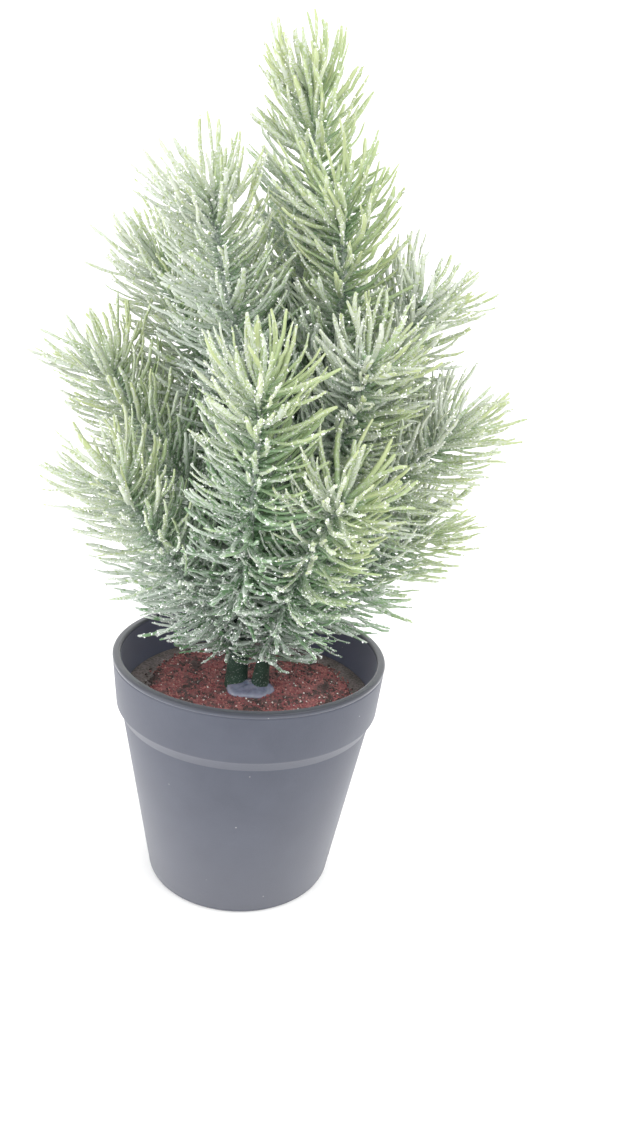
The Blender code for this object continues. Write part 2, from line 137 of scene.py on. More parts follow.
def new_piece(name, points, faces, finish, slot, *nodes):
    """Make a mesh piece from points and arrays of faces, and let it stand for the CAD nodes."""
    mesh = bpy.data.meshes.new(name)
    mesh.vertices.add(len(points))
    mesh.vertices.foreach_set("co", np.asarray(points, np.float32).ravel())
    corners = np.concatenate([group.ravel() for group in faces]).astype(np.int32)
    counts = np.concatenate([np.full(len(group), group.shape[1]) for group in faces])
    mesh.loops.add(len(corners))
    mesh.loops.foreach_set("vertex_index", corners)
    mesh.polygons.add(len(counts))
    mesh.polygons.foreach_set("loop_start", (np.cumsum(counts) - counts).astype(np.int32))
    mesh.update(calc_edges=True)
    mesh.shade_smooth()
    mesh.materials.append(finish)
    thing = bpy.data.objects.new(name, mesh)
    bpy.context.scene.collection.objects.link(thing)
    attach(thing, "root")
    if nodes:
        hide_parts(*nodes)
    return thing


def tube_faces(tubes, rings, sides):
    """Faces of closed tubes: quads from ring to ring, and a fan to the pole at each end.

    A tube's points are its rings, one after another, and then its first and its last pole.
    """
    side = np.arange(sides)
    after = (side + 1) % sides
    ring = np.arange(rings - 1)[:, None] * sides
    quads = [ring + side, ring + after, ring + sides + after, ring + sides + side]
    first = np.full(sides, rings * sides)
    end = (rings - 1) * sides
    fans = [np.stack([first, after, side], 1), np.stack([first + 1, end + side, end + after], 1)]
    start = (np.arange(tubes) * (rings * sides + 2))[:, None, None]
    quads = np.stack(quads, -1).reshape(1, -1, 4) + start
    return [quads.reshape(-1, 4), (np.concatenate(fans)[None] + start).reshape(-1, 3)]


def arc(centre, radius, start, end, count):
    """Points on an arc in the profile plane, with angles in degrees from outwards to upwards."""
    angles = np.radians(np.linspace(start, end, count))
    return [(centre[0] + radius * math.cos(a), centre[1] + radius * math.sin(a)) for a in angles]


def inner_wall(height):
    """Radius of the pot's inner wall at a height: straight runs between its bends."""
    slope = (STEP_FOOT[0] - BASE_RADIUS) / STEP_FOOT[1]
    heights = (POT_FLOOR, STEP_FOOT[1] - SIDE_WALL, BAND_FOOT[1], POT_HEIGHT)
    radii = (
        BASE_RADIUS + slope * POT_FLOOR - SIDE_WALL,
        STEP_FOOT[0] - slope * SIDE_WALL - SIDE_WALL,
        BAND_FOOT[0] - BAND_WALL,
        RIM_RADIUS - LIP_WIDTH,
    )
    return np.interp(height, heights, radii)


def pot_profile():
    """Radius and height round the pot's wall, from the floor inside, over the lip, to the base."""
    lip = POT_HEIGHT - LIP_ROUND
    inner_heights = (POT_FLOOR, STEP_FOOT[1] - SIDE_WALL, BAND_FOOT[1], BAND_MIDDLE)
    line = [(inner_wall(z), z) for z in inner_heights]
    line += arc((RIM_RADIUS - LIP_WIDTH + LIP_ROUND, lip), LIP_ROUND, 180, 90, 7)
    line += arc((RIM_RADIUS - LIP_ROUND, lip), LIP_ROUND, 90, 0, 7)
    slope = (RIM_RADIUS - BAND_FOOT[0]) / (POT_HEIGHT - BAND_FOOT[1])
    for turn in np.linspace(-1, 1, 9):
        z = LIP_GROOVE_HEIGHT - turn * LIP_GROOVE_WIDTH
        sink = LIP_GROOVE_DEPTH * 0.5 * (1 + math.cos(math.pi * turn))
        line.append((RIM_RADIUS - slope * (POT_HEIGHT - z) - sink, z))
    line += arc((BAND_FOOT[0] - BAND_ROUND, BAND_FOOT[1] + BAND_ROUND), BAND_ROUND, 0, -50, 6)
    line += arc((STEP_FOOT[0] + STEP_ROUND, STEP_FOOT[1] + STEP_ROUND), STEP_ROUND, 140, 190, 5)
    line.append((BASE_RADIUS + BASE_SHOULDER[0], BASE_ROUND + BASE_SHOULDER[1]))
    line += arc((BASE_RADIUS - BASE_ROUND, BASE_ROUND), BASE_ROUND, 0, -90, 8)
    return np.array(line)


def turned(profile, sides, start, end):
    """Points of a profile turned about the z axis, with the heights of the poles that close it."""
    turns = np.linspace(0, math.tau, sides, endpoint=False)
    rings = np.stack([
        profile[:, :1] * np.cos(turns), profile[:, :1] * np.sin(turns), profile[:, 1:] + 0 * turns
    ], -1)
    return np.concatenate([rings.reshape(-1, 3), [(0, 0, start), (0, 0, end)]])


# Satin moulded polypropylene, through-coloured anthracite. The mould's fine grain scatters the
# light, so the wall turns pale at a grazing angle, and dust clings to it in specks. The grain is
# drawn a few times coarser than a real one, which would not show.
polypropylene, tree, shader = new_material(
    "moulded_polypropylene", IOR=1.49, Specular_IOR_Level=0.3,
    Sheen_Weight=0.28, Sheen_Roughness=0.6, Sheen_Tint="#e6e6ea")
place = add_node(tree, "TexCoord").outputs["Object"]
height = add_node(tree, "SeparateXYZ", {"Vector": place}).outputs["Z"]
cloud = add_node(tree, "TexNoise", {
    "Vector": place, "Scale": 1 / CLOUD_SIZE, "Detail": 8.0, "Roughness": 0.72})
outside = add_node(tree, "Mix", {
    "Factor": cloud, "A": PLASTIC_DARK, "B": PLASTIC_PALE}, data_type="RGBA")
from_axis = add_node(tree, "VectorMath", {0: place, 1: (1.0, 1.0, 0.0)}, operation="MULTIPLY")
radius = add_node(tree, "VectorMath", {0: from_axis}, operation="LENGTH")
# Painted light: the inner wall above the band's foot is painted paler, for the light falling into the mouth
within = add_node(tree, "MapRange", {
    "Value": radius, "From Min": INSIDE_PAINTED_LIGHT_FADE[0], "From Max": INSIDE_PAINTED_LIGHT_FADE[1]})
above = add_node(tree, "Math", {0: height, 1: BAND_FOOT[1]}, operation="GREATER_THAN")
inside = add_node(tree, "Math", {0: within, 1: above}, operation="MULTIPLY")
walls_with_painted_light = add_node(tree, "Mix", {"Factor": inside, "A": outside, "B": PLASTIC_INSIDE_PAINTED_LIGHT}, data_type="RGBA")
# Painted reflection: the lip is painted darker, for the dark foliage that its gloss reflects
lip_reflection = add_node(tree, "MapRange", {"Value": height, "From Min": LIP_REFLECTION_FADE[0], "From Max": LIP_REFLECTION_FADE[1]})
body = add_node(tree, "Mix", {"Factor": lip_reflection, "A": walls_with_painted_light, "B": PLASTIC_LIP_PAINTED_REFLECTION}, data_type="RGBA")
specks = add_node(tree, "TexVoronoi", {"Vector": place, "Scale": 1 / DUST_SPACING})
speck = add_node(tree, "MapRange", {
    "Value": specks, "From Min": 0.035, "From Max": 0.02, "To Max": 0.55})
dusty = add_node(tree, "Mix", {"Factor": speck, "A": body, "B": DUST}, data_type="RGBA")
rough = add_node(tree, "MapRange", {"Value": cloud, "To Min": 0.46, "To Max": 0.58})
polish = add_node(tree, "MapRange", {
    "Value": height, "From Min": GLOSS_FADE[0], "From Max": GLOSS_FADE[1], "To Min": 1.0, "To Max": 0.4})
satin = add_node(tree, "Math", {0: rough, 1: polish}, operation="MULTIPLY")
grain = add_node(tree, "TexNoise", {"Vector": place, "Scale": 1 / MOULD_GRAIN, "Detail": 2.0})
bump = add_node(tree, "Bump", {"Height": grain, "Strength": 0.5, "Distance": 0.06 * MM})
fill(shader, {"Base Color": dusty, "Roughness": satin, "Normal": bump})

# The profile starts inside, so its faces are turned over to look outwards
profile = pot_profile()
pot_faces = [group[:, ::-1] for group in tube_faces(1, len(profile), POT_SIDES)]
pot_points = turned(profile, POT_SIDES, POT_FLOOR, 0.0)
new_piece("pot_shell", pot_points, pot_faces, polypropylene, "pot_plastic", "pot")


# Foam. A plug of dry flower foam, cut by hand and pushed down into the pot. Its top is a grid of
# rings and spokes whose height follows a few waves, with the crumbled cells left to the finish.
FOAM_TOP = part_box("filling_foam")[1][2]
FOAM_FOOT = POT_FLOOR + 0.5 * MM
FOAM_GAP = 0.15 * MM
FOAM_ROUND = 0.9 * MM
FOAM_INNER_RING = 0.8 * MM
FOAM_RINGS = 60
FOAM_SPOKES = 160
FOAM_SKIN = 0.3 * MM
FOAM_DIP = 0.35 * MM
FOAM_WAVES = (14 * MM, 9 * MM, 6 * MM, 3.1 * MM, 2.2 * MM)
FOAM_DARK = "#6b6263"
FOAM_PALE = "#948887"
FOAM_CELL = 0.9 * MM
FOAM_PATCH = 7 * MM


def waves(x, y, sizes, seed):
    """A smooth uneven height: the mean of sines that run in seeded directions, one for each size."""
    rng = np.random.default_rng(seed)
    total = 0.0 * x
    for size in sizes:
        heading, phase = rng.uniform(0, math.tau, 2)
        run = (x * math.cos(heading) + y * math.sin(heading)) * 2 * math.pi / size
        total += np.sin(run + phase + 1.3 * np.sin(run * 0.37 + phase * 2))
    return total / len(sizes)


foam_outline = np.array(
    [(inner_wall(z) - FOAM_GAP, z) for z in (FOAM_FOOT, BAND_FOOT[1])]
    + arc((inner_wall(FOAM_TOP) - FOAM_GAP - FOAM_ROUND, FOAM_TOP - FOAM_ROUND), FOAM_ROUND, 0, 80, 6)
)
top_radii = np.linspace(foam_outline[-1, 0] - FOAM_SKIN, FOAM_INNER_RING, FOAM_RINGS)
foam_outline = np.concatenate([foam_outline, np.stack([top_radii, 0 * top_radii + FOAM_TOP], 1)])
foam_points = turned(foam_outline, FOAM_SPOKES, FOAM_FOOT, FOAM_TOP)
on_top = foam_points[:, 2] > FOAM_TOP - FOAM_SKIN
dips = waves(foam_points[:, 0], foam_points[:, 1], FOAM_WAVES, seed=5) - 1
foam_points[:, 2] += on_top * FOAM_DIP * dips

# Dry phenolic foam: brittle open cells, brown-grey, painted darker in the middle of each cell as shade in
# its pore, and paler on the cells' rims in patches. The cells are drawn about twice as wide as real ones, so
# that they show.
flower_foam, tree, shader = new_material("dry_flower_foam", Roughness=0.95)
place = add_node(tree, "TexCoord").outputs["Object"]
cells = add_node(tree, "TexVoronoi", {"Vector": place, "Scale": 1 / FOAM_CELL})
patches = add_node(tree, "TexNoise", {"Vector": place, "Scale": 1 / FOAM_PATCH, "Detail": 4.0})
# Painted shade: the cells' pits are darker, and their rims paler where the patches lie
open_cell = add_node(tree, "Math", {0: cells, 1: patches}, operation="MULTIPLY")
pore_shading = add_node(tree, "MapRange", {"Value": open_cell, "From Min": 0.08, "From Max": 0.4})
colour = add_node(tree, "Mix", {"Factor": pore_shading, "A": FOAM_DARK, "B": FOAM_PALE}, data_type="RGBA")
bump = add_node(tree, "Bump", {"Height": cells, "Strength": 0.8, "Distance": 0.4 * MM})
fill(shader, {"Base Color": colour, "Normal": bump})
foam_faces = tube_faces(1, len(foam_outline), FOAM_SPOKES)
new_piece("foam_plug", foam_points, foam_faces, flower_foam, "dry_foam", "filling_foam")


# Grit bed. Coloured sand stirred into glue and brushed over the middle of the foam. It is a low
# disc whose outline and top wander, and the loose grains of the next section stand on it.
GRIT_FOOT, GRIT_TOP = (corner[2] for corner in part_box("filling_grit"))
# The level at which the stems are cut flat, a hair over the bed
GROUND = GRIT_TOP + 0.3 * MM
GRIT_RADIUS = 35.5 * MM
# Each row: how many waves go round the edge, their size as a share of the radius, and their phase
GRIT_EDGE_WAVES = ((3, 0.022, 0.4), (5, 0.018, 2.1), (11, 0.012, 1.0))
GRIT_RINGS = 90
GRIT_SPOKES = 240
GRIT_RELIEF = 0.45 * MM
GRIT_WAVES = (11 * MM, 6.5 * MM, 3.7 * MM, 2.3 * MM, 1.7 * MM)
GRIT_SETTLE = 0.35 * MM
GRIT_EDGE_DROP = 1.2 * MM
GRIT_PATCH = 6 * MM
SAND_SIZE = 0.9 * MM
BRICK = "#8f5759"
RUST = "#a86d6a"
UMBER = "#564a49"


def grit_edge(turn):
    """Radius of the grit's outline: a circle with a few sines round it."""
    ripple = sum(size * np.sin(count * turn + phase) for count, size, phase in GRIT_EDGE_WAVES)
    return GRIT_RADIUS * (1 + ripple)


def grit_height(x, y):
    """Height of the grit's top: level, with a grainy relief, and a drop over its outer tenth."""
    share = np.hypot(x, y) / grit_edge(np.arctan2(y, x))
    relief = waves(x, y, GRIT_WAVES, seed=11)
    drop = GRIT_EDGE_DROP * np.clip(share - 0.9, 0, 1) * 10
    return GROUND - GRIT_SETTLE + GRIT_RELIEF * relief - drop


turns = np.linspace(0, math.tau, GRIT_SPOKES, endpoint=False)
shares = np.linspace(1.0, 0.02, GRIT_RINGS)[:, None]
ring_x = shares * grit_edge(turns) * np.cos(turns)
ring_y = shares * grit_edge(turns) * np.sin(turns)
ring_z = np.maximum(grit_height(ring_x, ring_y), GRIT_FOOT)
ring_z[0] = GRIT_FOOT
poles = [(0, 0, GRIT_FOOT), (0, 0, grit_height(np.zeros(1), np.zeros(1))[0])]
bed_points = np.concatenate([np.stack([ring_x, ring_y, ring_z], -1).reshape(-1, 3), poles])

# Sand bound in PVA glue: brick red and rust, with umber patches where the foam shows through.
bound_sand, tree, shader = new_material("glue_bound_sand", Roughness=0.85)
place = add_node(tree, "TexCoord").outputs["Object"]
patches = add_node(tree, "TexNoise", {
    "Vector": place, "Scale": 1 / GRIT_PATCH, "Detail": 5.0, "Roughness": 0.65})
dark = add_node(tree, "MapRange", {"Value": patches, "From Min": 0.62, "From Max": 0.42})
sand = add_node(tree, "TexVoronoi", {"Vector": place, "Scale": 1 / SAND_SIZE})
tone = add_node(tree, "SeparateColor", {"Color": sand.outputs["Color"]})
reds = add_node(tree, "Mix", {"Factor": tone.outputs["Red"], "A": BRICK, "B": RUST}, data_type="RGBA")
shaded = add_node(tree, "Mix", {"Factor": dark, "A": UMBER, "B": reds}, data_type="RGBA")
bump = add_node(tree, "Bump", {"Height": sand, "Strength": 0.7, "Distance": 0.3 * MM})
fill(shader, {"Base Color": shaded, "Normal": bump})
bed_faces = tube_faces(1, GRIT_RINGS, GRIT_SPOKES)
new_piece("grit_bed", bed_points, bed_faces, bound_sand, "red_grit", "filling_grit")


# Loose grains. Crushed stone of half a millimetre to over one, and a few white glitter grains that
# fell from the needles. Each is a small rough ball of eight faces, sunk to its middle in the bed.
# Each row: name, count, radius in mm, colour, how strongly the kind gathers in patches, and seed.
GRAIN_KINDS = (
    ("grains_brick", 1800, 0.42, "#9a5c5e", -1.5, 21),
    ("grains_rust", 1000, 0.38, "#b97b77", -2.5, 22),
    ("grains_umber", 1600, 0.47, "#564947", 4.5, 23),
    ("grains_pink", 260, 0.34, "#c59a90", -1.0, 24),
    ("grains_white", 220, 0.32, "#f2efe9", 0.0, 25),
)
# Places are drawn at random, several for each grain, and those in its patches are likelier kept
PLACES_A_GRAIN = 5
PATCHES = (21 * MM, 13 * MM, 8 * MM, 5 * MM)
STRAY = 0.05
WALL_MARGIN = 1.5 * MM
GRAIN_LIFT = 0.05 * MM
SHADE_SIZE = 1.1 * MM
BALL = (
    np.array([(1, 0, 0), (0, 1, 0), (-1, 0, 0), (0, -1, 0), (0, 0, -1), (0, 0, 1)], float),
    np.array([(4, 1, 0), (4, 2, 1), (4, 3, 2), (4, 0, 3), (5, 0, 1), (5, 1, 2), (5, 2, 3), (5, 3, 0)]),
)


def scattered(shape, centres, sizes, rng, flatness=1.0):
    """Points and faces of one small shape set down at many places, each stretched and turned."""
    corners, faces = shape
    count = len(centres)
    axes = np.linalg.qr(rng.normal(size=(count, 3, 3)))[0]
    axes[:, :, 2] *= np.linalg.det(axes)[:, None]
    stretch = rng.uniform(0.75, 1.25, (count, len(corners), 1)) * sizes[:, None, None]
    points = (corners * stretch * np.array([1, 1, flatness])) @ axes.transpose(0, 2, 1)
    points = points + centres[:, None]
    starts = np.arange(count)[:, None, None] * len(corners)
    return points.reshape(-1, 3), [(faces + starts).reshape(-1, 3)]


for name, count, radius, colour, clump, seed in GRAIN_KINDS:
    rng = np.random.default_rng(seed)
    turn = rng.uniform(0, math.tau, count * PLACES_A_GRAIN)
    out = np.sqrt(rng.uniform(0, 1, len(turn))) + STRAY * np.abs(rng.normal(size=len(turn)))
    out = np.minimum(out * grit_edge(turn), inner_wall(FOAM_TOP) - WALL_MARGIN)
    x, y = out * np.cos(turn), out * np.sin(turn)
    chance = np.exp(clump * waves(x, y, PATCHES, seed=6))
    kept = rng.choice(len(turn), count, replace=False, p=chance / chance.sum())
    x, y = x[kept], y[kept]
    z = np.maximum(grit_height(x, y), FOAM_TOP) + GRAIN_LIFT
    sizes = radius * MM * rng.uniform(0.6, 1.5, count)
    # Crushed stone: matt, each grain a shade of its own, with a rough broken face.
    crushed_stone, tree, shader = new_material(f"crushed_stone_{name}", Roughness=0.8)
    place = add_node(tree, "TexCoord").outputs["Object"]
    tones = add_node(tree, "TexNoise", {"Vector": place, "Scale": 1 / SHADE_SIZE, "Detail": 1.0})
    lightness = add_node(tree, "MapRange", {"Value": tones, "To Min": 0.45, "To Max": 1.5})
    shade = add_node(tree, "HueSaturation", {"Color": colour, "Value": lightness})
    fill(shader, {"Base Color": shade})
    points, faces = scattered(BALL, np.stack([x, y, z], 1), sizes, rng)
    new_piece(name, points, faces, crushed_stone, "red_grit").data.shade_flat()


# Trunk and boughs. Moulded polyethylene stems over a wire, dark green right through. Each is a tube
# swept along its limb, with the fine ribs and the scale-like scars that the mould gives it.
TRUNK_FOOT = np.array([-4.3, -1.5, 0.0]) * MM
TRUNK_LEAN = np.array([11.8, 5.0, 0.0]) * MM
TRUNK_HEIGHT = 141.0 * MM
TRUNK_CURVE = 1.7
TRUNK_RADII = (3.9 * MM, 1.7 * MM)
TRUNK_FLARE = (0.35 * MM, 5.0 * MM)
SIDE_STEM_FOOT = np.array([4.2, -3.2, 0.0]) * MM
SIDE_STEM_RISE = 26.0 * MM
SIDE_STEM_RADIUS = 3.4 * MM
BOUGH_RADIUS = 1.9 * MM
STEM_RADII = (1.35 * MM, 0.7 * MM)
BOUGH_SHARE = 0.22
# Each row: rings and sides of a kind of tube, ribs round it, and the depth of its relief
TUBES = {
    "trunk": (260, 40, 9, 0.14 * MM),
    "side_stem": (90, 32, 8, 0.13 * MM),
    "bough": (60, 18, 5, 0.12 * MM),
    "sprig_stem": (110, 12, 3, 0.1 * MM),
}
RIB_WANDER = 9 * MM
SCAR_PITCHES = (0.55 * MM, 0.8 * MM)
STEM_DARK = "#1f3228"
STEM_PALE = "#385645"
STEM_FROST = "#b4bdb6"
MOTTLE = 3.5 * MM
DUSTING = 0.6 * MM
UP = np.array([0.0, 0.0, 1.0])
# A direction that no limb runs along, from which the turn round a limb is counted
GUIDE = (0.31, 0.94, 0.12)

# Each row: name, bearing in degrees, reach from the pot's axis, height of the tip above the grit,
# height at which the bough leaves the trunk, bow outwards and swing sideways, all in mm
SPRIGS = (
    ("front_left_low", 210.5, 50.0, 78.0, 15.0, 2.0, -6.0),
    ("front_middle", 272.5, 48.0, 114.0, 23.0, 12.5, 0.0),
    ("front_right_low", 301.5, 52.8, 83.0, 0.0, 0.0, 0.0),
    ("right_low", 10.5, 56.5, 62.0, 19.0, 10.0, 0.0),
    ("right_middle", 355.3, 61.5, 100.0, 44.0, 9.0, 0.0),
    ("right_high", 353.8, 46.7, 137.5, 71.0, 12.0, 0.0),
    ("front_right_middle", 315.8, 43.1, 121.0, 53.0, 6.0, -16.0),
    ("front_right_high", 320.5, 23.6, 162.5, 94.0, 12.0, -18.0),
    ("front_left_high", 228.2, 26.8, 161.5, 84.0, 0.0, 2.0),
    ("left_high", 152.9, 43.9, 141.0, 78.0, 4.0, 0.0),
    ("left_middle", 180.0, 52.0, 110.0, 50.0, 7.0, 0.0),
    ("back_left_middle", 141.0, 54.0, 93.0, 37.0, 8.0, 0.0),
    ("back_left_low", 150.0, 45.0, 52.0, 12.0, 6.0, 0.0),
    ("back_low", 84.0, 52.0, 66.0, 28.0, 9.0, 0.0),
    ("back_right_middle", 38.0, 60.0, 93.0, 34.0, 9.0, 0.0),
    ("back_middle", 103.0, 50.0, 119.0, 58.0, 9.0, 0.0),
    ("back_right_high", 42.0, 44.0, 125.0, 64.0, 9.0, 0.0),
    ("back_high", 82.0, 29.0, 150.0, 86.0, 6.0, 4.0),
)
LEADER_TIP = np.array([7.3, 5.0, 193.8]) * MM
LEADER_BOW = np.array([3.2, -1.0, 0.0]) * MM


def unit(vectors):
    """Vectors divided by their lengths."""
    return vectors / np.linalg.norm(vectors, axis=-1, keepdims=True)


def bend_through(start, middle, end):
    """Points on the curve that middle pulls into a bow: a square mix of the three points."""
    share = np.linspace(0, 1, 60)[:, None]
    return (1 - share) ** 2 * start + 2 * share * (1 - share) * middle + share**2 * end


def trunk_point(share):
    """The trunk's middle at a share of its height: a lean that grows as a power of the share."""
    share = np.asarray(share, float)[..., None]
    return TRUNK_FOOT + TRUNK_LEAN * share**TRUNK_CURVE + UP * (GROUND + TRUNK_HEIGHT * share)


def limb_path(bearing, reach, height, root, bow, swing):
    """A limb from the trunk's middle to its tip: a bow below the chord, and a swing to its side."""
    heading = math.radians(bearing)
    tip = np.array([reach * math.cos(heading), reach * math.sin(heading), height]) * MM + UP * GROUND
    if root == 0.0:
        start = SIDE_STEM_FOOT + UP * GROUND
        return bend_through(start, start + UP * SIDE_STEM_RISE, tip)
    start = trunk_point(root * MM / TRUNK_HEIGHT)
    chord = unit(tip - start)
    sideways = unit(np.cross(chord, UP))
    below = -np.cross(sideways, chord)
    return bend_through(start, (start + tip) / 2 + below * bow * MM + sideways * swing * MM, tip)


def lengths_along(path):
    """Distance of each point of a path from its start."""
    return np.concatenate([[0.0], np.cumsum(np.linalg.norm(np.diff(path, axis=0), axis=1))])


def at_shares(path, shares):
    """Points at shares of a path's length, and the path's direction there."""
    along = lengths_along(path)
    here = np.asarray(shares) * along[-1]
    points = np.stack([np.interp(here, along, path[:, axis]) for axis in range(3)], -1)
    runs = unit(np.gradient(path, axis=0))
    return points, unit(np.stack([np.interp(here, along, runs[:, axis]) for axis in range(3)], -1))


def swept(middles, runs, radii, sides):
    """Points of a tube: rings round the middles, square to the runs, with a pole at each end."""
    across = unit(np.cross(runs, GUIDE))
    turns = np.linspace(0, math.tau, sides, endpoint=False)[:, None]
    ring = np.cos(turns) * across[:, None] + np.sin(turns) * np.cross(runs, across)[:, None]
    rings = middles[:, None] + ring * radii[..., None]
    return np.concatenate([rings.reshape(-1, 3), middles[[0, -1]]])


def stem_tube(kind, middles, runs, radii, length, rng):
    """Points of a stem's tube, whose radii take the mould's relief before it is swept.

    The relief is ribs that wander along the stem, scars in a diamond pattern, the product of two
    sines that wind opposite ways, and a little roughness.
    """
    rings, sides, ribs, depth = TUBES[kind]
    along = np.linspace(0, length, rings)[:, None]
    turn = np.linspace(0, math.tau, sides, endpoint=False)[None]
    rib = np.sin(ribs * turn + 2.2 * np.sin(along / RIB_WANDER + rng.uniform(0, 6)))
    scars = np.sin(5 * turn + along / SCAR_PITCHES[0]) * np.sin(5 * turn - along / SCAR_PITCHES[1])
    rough = rng.normal(size=(rings, sides))
    relief = 0.45 * rib + 0.55 * np.clip(scars, 0, 1) + 0.12 * rough
    return swept(middles, runs, radii[:, None] + depth * relief, sides)


def limb_tube(kind, path, stretch, ends, rng, level_foot=False):
    """Points of the tube along a stretch of a limb, whose radius falls evenly from end to end."""
    rings = TUBES[kind][0]
    middles, runs = at_shares(path, np.linspace(*stretch, rings))
    if level_foot:
        runs[0] = UP
    length = (stretch[1] - stretch[0]) * lengths_along(path)[-1]
    return stem_tube(kind, middles, runs, np.linspace(*ends, rings), length, rng)


def stem_piece(name, kind, tubes, finish, *nodes):
    """Join the tubes of one kind of stem into one piece."""
    rings, sides = TUBES[kind][:2]
    faces = tube_faces(len(tubes), rings, sides)
    return new_piece(name, np.concatenate(tubes), faces, stem_finishes[finish], "stem_plastic", *nodes)


# Moulded polyethylene, dark green and slightly waxy. The frost spray barely reached the trunk and
# the boughs, but it covers the sprigs' own stems in a grey crust.
stem_finishes = {}
for name, thin, thick in (("bare", 0.58, 0.8), ("frosted", 0.25, 0.55)):
    stem_plastic, tree, shader = new_material("moulded_polyethylene_stem_" + name, IOR=1.51)
    place = add_node(tree, "TexCoord").outputs["Object"]
    mottle = add_node(tree, "TexNoise", {"Vector": place, "Scale": 1 / MOTTLE, "Detail": 3.0})
    green = add_node(tree, "Mix", {"Factor": mottle, "A": STEM_DARK, "B": STEM_PALE}, data_type="RGBA")
    dusting = add_node(tree, "TexNoise", {"Vector": place, "Scale": 1 / DUSTING, "Detail": 2.0})
    frosted = add_node(tree, "MapRange", {
        "Value": dusting, "From Min": thin, "From Max": thick, "To Max": 0.85})
    colour = add_node(tree, "Mix", {"Factor": frosted, "A": green, "B": STEM_FROST}, data_type="RGBA")
    rough = add_node(tree, "MapRange", {"Value": dusting, "To Min": 0.4, "To Max": 0.75})
    fill(shader, {"Base Color": colour, "Roughness": rough})
    stem_finishes[name] = stem_plastic

shares = np.linspace(0, 1, TUBES["trunk"][0])
middles = trunk_point(shares)
flare = TRUNK_FLARE[0] * np.clip(1 - shares * TRUNK_HEIGHT / TRUNK_FLARE[1], 0, 1)
radii = TRUNK_RADII[0] + (TRUNK_RADII[1] - TRUNK_RADII[0]) * shares + flare
runs = unit(np.gradient(middles, axis=0))
runs[0] = UP
trunk = stem_tube("trunk", middles, runs, radii, TRUNK_HEIGHT, np.random.default_rng(31))
stem_piece("trunk_stem", "trunk", [trunk], "bare", "trunk")

limbs = {row[0]: limb_path(*row[1:]) for row in SPRIGS}
leader_middle = (trunk_point(1.0) + LEADER_TIP + UP * GROUND) / 2 + LEADER_BOW * 2
limbs["leader"] = bend_through(trunk_point(1.0), leader_middle, LEADER_TIP + UP * GROUND)
boughs, sprig_stems = [], []
for index, (name, path) in enumerate(limbs.items()):
    rng = np.random.default_rng([32, index])
    start = 0.0 if name == "leader" else BOUGH_SHARE
    if name == "front_right_low":
        ends = (SIDE_STEM_RADIUS, STEM_RADII[0])
        tube = limb_tube("side_stem", path, (0.0, BOUGH_SHARE), ends, rng, level_foot=True)
        stem_piece("second_stem_tube", "side_stem", [tube], "bare", "second_stem")
    elif name != "leader":
        boughs.append(limb_tube("bough", path, (0.0, BOUGH_SHARE), (BOUGH_RADIUS, STEM_RADII[0]), rng))
    sprig_stems.append(limb_tube("sprig_stem", path, (start, 1.0), STEM_RADII, rng))
bough_nodes = sorted(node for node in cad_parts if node.startswith("bough_"))
stem_piece("boughs", "bough", boughs, "bare", *bough_nodes)
stem_piece("sprig_stems", "sprig_stem", sprig_stems, "frosted")


# Glue. A puddle of hot-melt adhesive that holds both stems: a low dome with a rounded rim, which
# climbs a little at each stem, cloudy and faintly lilac.
GLUE_CENTRE = np.array([0.8, -4.3]) * MM
GLUE_RADII = np.array([8.1, 6.7]) * MM
GLUE_HEIGHT = 2.6 * MM
GLUE_EDGE_WAVES = ((2, 0.06, 0.7), (5, 0.05, 0.2))
GLUE_WAVES = (6 * MM, 4 * MM, 2.7 * MM)
GLUE_RINGS = 40
GLUE_SPOKES = 96
DOME_SHARE = 0.86
DOME_ROUND = 2.6
CLIMB = 0.9 * MM
CLIMB_WIDTH = 1.1 * MM
GLUE_DARK = "#5e627a"
GLUE_PALE = "#9a9eb3"
GLUE_RIM_HIGHLIGHT = "#bfc3d4"
SWIRL = 3 * MM
RIPPLE = 3.5 * MM
# Heights between which a painted highlight pales the dome towards its rim
RIM_HIGHLIGHT_HEIGHTS = (GROUND + 1.3 * MM, GROUND + 0.3 * MM)

turns = np.linspace(0, math.tau, GLUE_SPOKES, endpoint=False)
edge = 1 + sum(size * np.sin(count * turns + phase) for count, size, phase in GLUE_EDGE_WAVES)
shares = np.sin(np.linspace(math.pi / 2, 0.02, GLUE_RINGS))[:, None]
x = GLUE_CENTRE[0] + shares * edge * np.cos(turns) * GLUE_RADII[0]
y = GLUE_CENTRE[1] + shares * edge * np.sin(turns) * GLUE_RADII[1]
dome = GLUE_HEIGHT * DOME_SHARE * np.sqrt(np.clip(1 - shares**DOME_ROUND, 0, 1))
dome = dome * (1 + 0.1 * np.sin(3 * turns + 1)) * (1 + 0.12 * waves(x, y, GLUE_WAVES, seed=8))
to_trunk = np.hypot(x - TRUNK_FOOT[0], y - TRUNK_FOOT[1]) - TRUNK_RADII[0]
to_side = np.hypot(x - SIDE_STEM_FOOT[0], y - SIDE_STEM_FOOT[1]) - SIDE_STEM_RADIUS
climb = CLIMB * np.exp(-np.clip(np.minimum(to_trunk, to_side), 0, None) / CLIMB_WIDTH) * (shares < 0.97)
z = GRIT_TOP + dome + climb
glue_poles = [(*GLUE_CENTRE, GRIT_TOP), (*GLUE_CENTRE, z[-1].mean())]
glue_points = np.concatenate([np.stack([x, y, z], -1).reshape(-1, 3), glue_poles])

